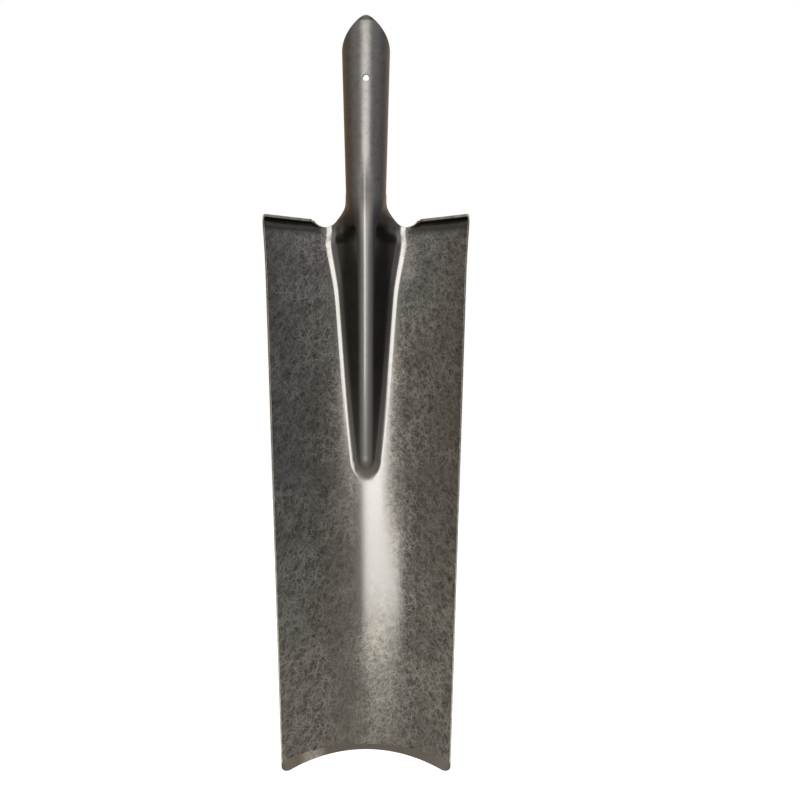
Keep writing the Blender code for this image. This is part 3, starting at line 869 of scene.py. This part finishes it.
def tempered_carbon_steel():
    """Hardened carbon steel, pressed and then tumbled.

    It is a dark mirror where the punch ironed it, on the frog and round its nose, and finely brushed up the
    socket. The blade is dulled by a felt of hair-fine crossing scratches. Painted shade darkens the valleys
    beside the crest and the feet of the treads' bends, the cropped edges are bare and lighter, and the ground
    face is smooth and brown with age.
    """
    finish = bpy.context.scene.spade_finish
    form = Form(bpy.context.scene.spade_sizes)
    material = bpy.data.materials.new("tempered_carbon_steel")
    material.use_nodes = True
    tree = material.node_tree
    node = partial(add, tree)
    place = node("TexCoord", output="Object")
    xyz = node("SeparateXYZ", place, output=None)
    x, height = xyz["X"], xyz["Z"]
    half_x = node("ABSOLUTE", x)
    marks = (FRONT, GROUND, CUT_EDGE)
    front, ground, cut = (node("Attribute", attribute_name=name, output="Fac") for name in marks)

    def within(value, rise=None, fall=None, about=0.0):
        """1 past the rise and before the fall, which are pairs measured about a place."""
        masks = []
        for limits, start in ((rise, 0.0), (fall, 1.0)):
            if limits:
                low, high = (about + limit for limit in limits)
                masks.append(node("MapRange", value, low, high, start, 1.0 - start, **SMOOTH))
        return node("MULTIPLY", *masks) if len(masks) == 2 else masks[0]

    def scaled(mask, low, high):
        """The mask, run smoothly from low to high."""
        return node("MapRange", mask, 0.0, 1.0, low, high, **SMOOTH)

    def outside(mask):
        """1 where the mask is 0."""
        return node("SUBTRACT", 1.0, mask)

    def added(start, *rows):
        """The start, and each row's weight times its masks, added up."""
        for weight, *masks in rows:
            start = node("ADD", start, node("MULTIPLY", *masks, weight))
        return start

    def lumps(size_mm, detail, limits, source=place):
        """Soft noise whose lumps are about size_mm wide, between the limits if there are any."""
        noise = node("TexNoise", {"Vector": source, "Scale": 1000 / size_mm, "Detail": detail})
        return within(noise, limits) if limits else noise

    unfolded = node("CombineXYZ", x, node("SUBTRACT", height, xyz["Y"]))

    def scratches(cell_mm, width_mm):
        """Three hair-fine, slightly bowed scratches that cross at a random angle in each cell."""
        cell = cell_mm / 1000
        width = width_mm / 1000
        pattern = {"Vector": unfolded, "Scale": 1 / cell}
        cells = node("TexVoronoi", pattern, voronoi_dimensions="2D", output=None)
        chance = node("SeparateColor", cells["Color"], output=None)
        away = node("VectorMath", unfolded, cells["Position"], operation="SUBTRACT")
        turn = {"Vector": away, "Angle": node("MULTIPLY", chance[0], math.pi)}
        local = node("SeparateXYZ", node("VectorRotate", turn, rotation_type="Z_AXIS"), output=None)
        along, across = local["X"], local["Y"]

        def scratch(run, beside, luck):
            bow = node("MULTIPLY", run, run, node("SUBTRACT", luck, 0.5), Wear.SCRATCH_BOW / cell)
            off = node("ABSOLUTE", node("SUBTRACT", beside, bow))
            body = within(off, fall=(Wear.SCRATCH_CORE * width, width))
            ends = within(node("ABSOLUTE", run), fall=[share * cell for share in Wear.SCRATCH_ENDS])
            return node("MULTIPLY", body, ends, scaled(luck, 0.15, 1.0))

        aside = node("MULTIPLY", node("SUBTRACT", chance[2], 0.5), 0.5 * cell)
        slant = node("MULTIPLY", node("ADD", along, across), math.sqrt(0.5))
        across_slant = node("MULTIPLY", node("SUBTRACT", along, across), math.sqrt(0.5))
        first = scratch(along, across, chance[1])
        second = scratch(across, node("SUBTRACT", along, aside), chance[2])
        third = scratch(slant, node("ADD", across_slant, aside), chance[0])
        return node("MAXIMUM", first, second, third)

    felt = node("ADD", *(scratches(*sizes) for sizes in Wear.FELT))
    long_marks = node("ADD", *(scratches(*sizes) for sizes in Wear.LONG_MARKS))
    clouds, mottle, grain = lumps(*Wear.CLOUDS), lumps(*Wear.MOTTLE), lumps(*Wear.GRAIN)
    along_socket = {"Vector": place, "Scale": Wear.BRUSHING_SCALE}
    brushing = lumps(*Wear.BRUSHING, node("Mapping", along_socket, vector_type="POINT"))

    # Smooth where the punch ironed the sheet, and below its nose on the front
    ridge_half = node("MapRange", height, form.nose_z, form.shoulder_z, *Wear.RIDGE_HALF, **SMOOTH)
    beside_ridge = within(node("SUBTRACT", half_x, ridge_half), Wear.RIDGE_EDGE)
    foot_lumps = node("SUBTRACT", lumps(*Wear.PATCH_FOOT_LUMPS), 0.5)
    ragged = node("ADD", height, node("MULTIPLY", foot_lumps, Wear.PATCH_FOOT_SWAY))
    side = (form.nose_end + z for z in Wear.PATCH_SIDE)
    right_edge = node("MapRange", height, *side, *Wear.PATCH_RIGHT, **SMOOTH)
    off_patch = node(
        "MAXIMUM",
        within(x, fall=Wear.PATCH_LEFT),
        within(node("SUBTRACT", x, right_edge), Wear.PATCH_RIGHT_EDGE),
        within(ragged, fall=Wear.PATCH_FOOT, about=form.nose_end),
        outside(front),
    )
    under_nose = within(height, fall=Wear.PATCH_TOP, about=form.nose_end)
    rubbed = node("MULTIPLY", beside_ridge, outside(under_nose))
    rubbed = node("MAXIMUM", rubbed, node("MULTIPLY", under_nose, off_patch))
    above_blade = within(height, (form.shoulder_z, form.neck_z))
    below_socket = outside(above_blade)
    rubbed = node("MULTIPLY", rubbed, below_socket)
    lower_third = within(height, fall=Wear.LOWER_THIRD)

    # Painted shade: the valleys beside the crest and the feet of the treads' bends are coloured darker
    narrowing = (form.shoulder_z + z for z in Wear.VALLEY_NARROWING)
    inset = node("MapRange", height, *narrowing, *Wear.VALLEY_INSET, **SMOOTH)
    valley_end = node("SUBTRACT", ridge_half, inset)
    valley = node(
        "MULTIPLY",
        within(half_x, Wear.VALLEY_INNER),
        within(node("SUBTRACT", half_x, valley_end), fall=Wear.VALLEY_OUTER),
        below_socket,
        within(height, Wear.VALLEY_NOSE, about=form.nose_end),
    )
    bend = within(height, Wear.BEND_FOOT, about=form.bend_z)
    bend = node("MULTIPLY", bend, within(half_x, Wear.BEND_INNER, about=form.border))
    scale = node("MULTIPLY", front, node("MAXIMUM", valley, bend))

    off_middle = node("MapRange", half_x, *Wear.OFF_MIDDLE, 0.45, 1.0, **SMOOTH)
    strokes = node(
        "MULTIPLY",
        node("ADD", felt, long_marks, use_clamp=True),
        scaled(clouds, 0.6, 1.0),
        added(0.6, (0.3, lower_third)),
        added(0.15, (0.85, rubbed)),
        below_socket,
        off_middle,
        scaled(front, 0.5, 1.0),
    )
    tone = added(0.0, (0.25, clouds), (0.35, mottle), (0.40, lower_third))
    dark_grain = node("MULTIPLY", rubbed, off_middle, outside(grain), outside(node("MULTIPLY", mottle, 0.6)))
    dark_tip = within(height, Wear.TIP, about=form.tip)
    fresh = node("MULTIPLY", ground, within(x, Wear.FRESH_LEFT, Wear.FRESH_RIGHT), scaled(grain, 0.5, 1.0))

    # Each coat goes over the ones before it, by its amount
    colour = finish.dark
    for amount, coat in (
        (tone, finish.light),
        (outside(rubbed), finish.ironed),
        (node("MULTIPLY", dark_grain, 0.75), finish.pit),
        (node("MULTIPLY", brushing, above_blade, 0.45), finish.light),
        (node("MULTIPLY", grain, mottle, above_blade, 0.35), finish.scale),
        (node("MULTIPLY", dark_tip, 0.95), finish.pit),
        (node("MULTIPLY", strokes, 0.70), finish.scratch),
        # painted shade in the valleys beside the crest and at the feet of the treads' bends
        (node("MULTIPLY", scale, 0.9), finish.scale),
        (node("MULTIPLY", cut, scaled(mottle, 0.55, 1.0)), finish.cut),
        (ground, finish.ground),
        (fresh, finish.keen_steel),
    ):
        colour = node("Mix", {0: amount, 6: colour, 7: coat}, data_type="RGBA", output=2)

    off_line = node("ABSOLUTE", node("SUBTRACT", x, Wear.CREST_LINE_X))
    on_line = within(off_line, fall=Wear.CREST_LINE_SIDE)
    burnished = node("MULTIPLY", on_line, within(height, Wear.CREST_LINE_FOOT))
    crest_worn = node(
        "MULTIPLY",
        within(half_x, fall=Wear.CREST_SIDE),
        within(height, fall=Wear.CREST_TOP),
        within(height, Wear.CREST_NOSE, about=form.nose_end),
        scaled(burnished, 1.0, 0.3),
    )
    notch_spot = node(
        "MULTIPLY",
        within(x, Wear.NOTCH_SPOT_LEFT, Wear.NOTCH_SPOT_RIGHT),
        within(height, Wear.NOTCH_SPOT_FOOT, Wear.NOTCH_SPOT_TOP),
        front,
    )
    rough = added(
        0.17,
        (0.17, above_blade),
        (0.26, crest_worn),
        (0.05, grain, rubbed),
        (0.08, strokes),
        (0.14, notch_spot),
        (0.18, node("MAXIMUM", cut, ground)),
    )
    relief = added(0.0, (-0.25, strokes), (0.6, mottle, rubbed), (0.25, brushing, above_blade))
    bump = node("Bump", {"Strength": 0.4, "Distance": Wear.BUMP_HEIGHT, "Height": relief})
    shader = tree.nodes["Principled BSDF"].inputs
    shader["Metallic"].default_value = 1.0
    for name, source in (("Base Color", colour), ("Roughness", rough), ("Normal", bump)):
        tree.links.new(source, shader[name])
    return material


def seen_white(tree, share):
    """1 for the rays that show the background: camera and transmission, and glossy times its share."""
    path = add(tree, "LightPath", output=None)
    glossy = add(tree, "MULTIPLY", path["Is Glossy Ray"], share)
    return add(tree, "ADD", path["Is Camera Ray"], glossy, path["Is Transmission Ray"], use_clamp=True)


def seamless_paper():
    """White paper under and behind the part: matt, and plain white to the eye and in the steel."""
    material = bpy.data.materials.new("seamless_white_paper")
    material.use_nodes = True
    tree = material.node_tree
    shader = tree.nodes["Principled BSDF"].inputs
    paper = (("Base Color", linear("#F4F4F2")), ("Roughness", 0.9), ("Specular IOR Level", 0.2))
    for name, value in (*paper, ("Emission Color", (1, 1, 1, 1))):
        shader[name].default_value = value
    tree.links.new(add(tree, "MULTIPLY", seen_white(tree, 1.0), 0.80), shader["Emission Strength"])
    return material


class SPADE_OT_stage(Operator):
    """Set the floor, the lights, the room and the camera"""

    bl_idname = "spade.stage"
    bl_label = "Stage"

    CAMERA_DISTANCE = 0.710
    CAMERA_HEIGHT = -0.2415
    FOCAL_PIXELS = 924.7
    MIDDLE_PIXEL = 366.0
    IMAGE_PIXELS = 800
    NEAREST_SEEN = 0.01
    FLOOR_SIZE = 6.0
    FLOOR_MIDDLE = 2.95
    FLOOR_BELOW = 0.45
    LAMP_DISTANCE = 5.0
    WHITE_BEHIND = (0.95, 0.97)  # how far back a direction leads where white takes over from the room
    # Degrees from straight ahead, to the right, and the wall's colour there
    WALLS = (
        (-180, (0.36, 0.34, 0.31)),
        (-150, (0.40, 0.30, 0.20)),
        (-130, (0.32, 0.21, 0.12)),
        (-110, (0.25, 0.17, 0.11)),
        (-90, (0.21, 0.18, 0.14)),
        (-70, (0.33, 0.32, 0.29)),
        (-40, (0.365, 0.355, 0.335)),
        (40, (0.24, 0.24, 0.24)),
        (70, (0.25, 0.255, 0.28)),
        (90, (0.19, 0.19, 0.215)),
        (110, (0.25, 0.21, 0.19)),
        (130, (0.48, 0.38, 0.31)),
        (150, (0.50, 0.42, 0.35)),
        (180, (0.36, 0.34, 0.31)),
    )
    # Where the ceiling and the table take over from the walls, as a direction's height, and their colours
    LEVELS = (
        (0.34, 0.75, (0.50, 0.50, 0.50)),
        (0.03, -0.24, (0.40, 0.385, 0.36)),
    )
    # The lit ceiling over the windows: its heights, how far towards the front it lies, and its colour
    LIT_CEILING = (0.24, 0.37, 0.15, 0.45, (0.55, 0.56, 0.61))
    # Name, left and right side in degrees from straight ahead, lower and upper edge in metres, and radiance
    SOFTBOXES = (
        ("window_sill", -27.8, 1.5, -0.94, -0.42, 2.7),
        ("lower_window", -20.5, 1.9, -0.42, -0.20, 2.6),
        ("window_rail", -14.0, 2.3, -0.20, 0.02, 3.6),
        ("window", -17.5, 3.0, 0.02, 0.29, 3.1),
        ("upper_window", -19.5, 17.0, 0.29, 1.92, 3.3),
    )

    def execute(self, context):
        self.set_camera(context)
        self.lay_floor()
        for name, left, right, low, high, radiance in self.SOFTBOXES:
            self.hang_softbox(name, left, right, low, high, radiance)
        self.fill_room(context)
        context.scene.view_settings.view_transform = "Standard"
        return {"FINISHED"}

    def set_camera(self, context):
        data = bpy.data.cameras.new("camera")
        camera = bpy.data.objects.new("camera", data)
        context.scene.collection.objects.link(camera)
        camera.location = (0, -self.CAMERA_DISTANCE, self.CAMERA_HEIGHT)
        camera.rotation_euler = (math.pi / 2, 0, 0)
        data.lens = self.FOCAL_PIXELS * data.sensor_width / self.IMAGE_PIXELS
        data.shift_x = 0.5 - self.MIDDLE_PIXEL / self.IMAGE_PIXELS
        data.clip_start = self.NEAREST_SEEN
        context.scene.camera = camera

    def lay_floor(self):
        """The paper's front edge hangs under the part, as on a product table."""
        deselect()
        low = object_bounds()[0][2]
        place = (0, self.FLOOR_MIDDLE, low - self.FLOOR_BELOW)
        bpy.ops.mesh.primitive_plane_add(size=self.FLOOR_SIZE, location=place)
        floor = bpy.context.object
        floor.name = "floor"
        floor.data.materials.append(seamless_paper())
        floor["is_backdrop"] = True

    def hang_softbox(self, name, left, right, low, high, radiance):
        """A soft rectangular light in front of the part, as bright as radiance."""
        distance = self.LAMP_DISTANCE
        angle = math.radians((left + right) / 2)
        light = bpy.data.lights.new(name, "AREA")
        light.shape = "RECTANGLE"
        light.size = 2 * distance * math.tan(math.radians((right - left) / 2))
        light.size_y = high - low
        light.energy = radiance * math.pi * light.size * light.size_y
        lamp = bpy.data.objects.new(name, light)
        bpy.context.scene.collection.objects.link(lamp)
        lamp.location = (distance * math.sin(angle), -distance * math.cos(angle), (low + high) / 2)
        lamp.rotation_euler = (math.pi / 2, 0, angle)

    def fill_room(self, context):
        """A grey room with brown walls at the back of either side, and white behind the part."""
        world = bpy.data.worlds.new("studio_room")
        context.scene.world = world
        world.use_nodes = True
        tree = world.node_tree
        tree.nodes.clear()
        node = partial(add, tree)
        xyz = node("SeparateXYZ", node("TexCoord", output="Generated"), output=None)
        away = node("MULTIPLY", xyz["Y"], -1.0)
        room = node("ValToRGB", node("MapRange", node("ARCTAN2", xyz["X"], away), -math.pi, math.pi))
        elements = room.node.color_ramp.elements
        for k, (degrees, colour) in enumerate(self.WALLS):
            element = elements[k] if k < 2 else elements.new(degrees / 360 + 0.5)
            element.position = degrees / 360 + 0.5
            element.color = (*colour, 1)
        layers = [(node("MapRange", xyz["Z"], low, high), colour) for low, high, colour in self.LEVELS]
        low, high, side, front, colour = self.LIT_CEILING
        lit = node("MULTIPLY", node("MapRange", xyz["Z"], low, high), node("MapRange", away, side, front))
        for amount, colour in (*layers, (lit, colour)):
            room = node("Mix", {0: amount, 6: room, 7: (*colour, 1)}, data_type="RGBA", output=2)
        behind = node("MapRange", xyz["Y"], *self.WHITE_BEHIND)
        white = node("Background", (1, 1, 1, 1))
        mix = node("MixShader", seen_white(tree, behind), node("Background", room), white)
        node("OutputWorld", mix, output=None)


class SPADE_PT_panel(Panel):
    """Buttons that make the head zone by zone"""

    bl_idname = "SPADE_PT_panel"
    bl_label = "Drain Spade Head"
    bl_space_type = "VIEW_3D"
    bl_region_type = "UI"
    bl_category = "Spade"

    def draw(self, context):
        layout = self.layout
        for operator in (SPADE_OT_socket, SPADE_OT_frog, SPADE_OT_blade, SPADE_OT_stage):
            layout.operator(operator.bl_idname)
        for hand in ("left", "right"):
            layout.operator(SPADE_OT_tread.bl_idname, text=hand.title() + " tread").hand = hand
        for group in (context.scene.spade_sizes, context.scene.spade_mesh, context.scene.spade_finish):
            box = layout.box()
            for name in type(group).__annotations__:
                box.prop(group, name)


CLASSES = (
    SpadeSizes,
    SpadeMesh,
    SpadeFinish,
    SPADE_OT_socket,
    SPADE_OT_frog,
    SPADE_OT_blade,
    SPADE_OT_tread,
    SPADE_OT_stage,
    SPADE_PT_panel,
)


def register():
    for kind in CLASSES:
        bpy.utils.register_class(kind)
    bpy.types.Scene.spade_sizes = PointerProperty(type=SpadeSizes)
    bpy.types.Scene.spade_mesh = PointerProperty(type=SpadeMesh)
    bpy.types.Scene.spade_finish = PointerProperty(type=SpadeFinish)


def unregister():
    del bpy.types.Scene.spade_finish
    del bpy.types.Scene.spade_mesh
    del bpy.types.Scene.spade_sizes
    for kind in reversed(CLASSES):
        bpy.utils.unregister_class(kind)


def main():
    register()
    bpy.ops.spade.socket()
    bpy.ops.spade.frog()
    bpy.ops.spade.blade()
    bpy.ops.spade.tread(hand="left")
    bpy.ops.spade.tread(hand="right")
    bpy.ops.spade.stage()


if __name__ == "__main__":
    main()
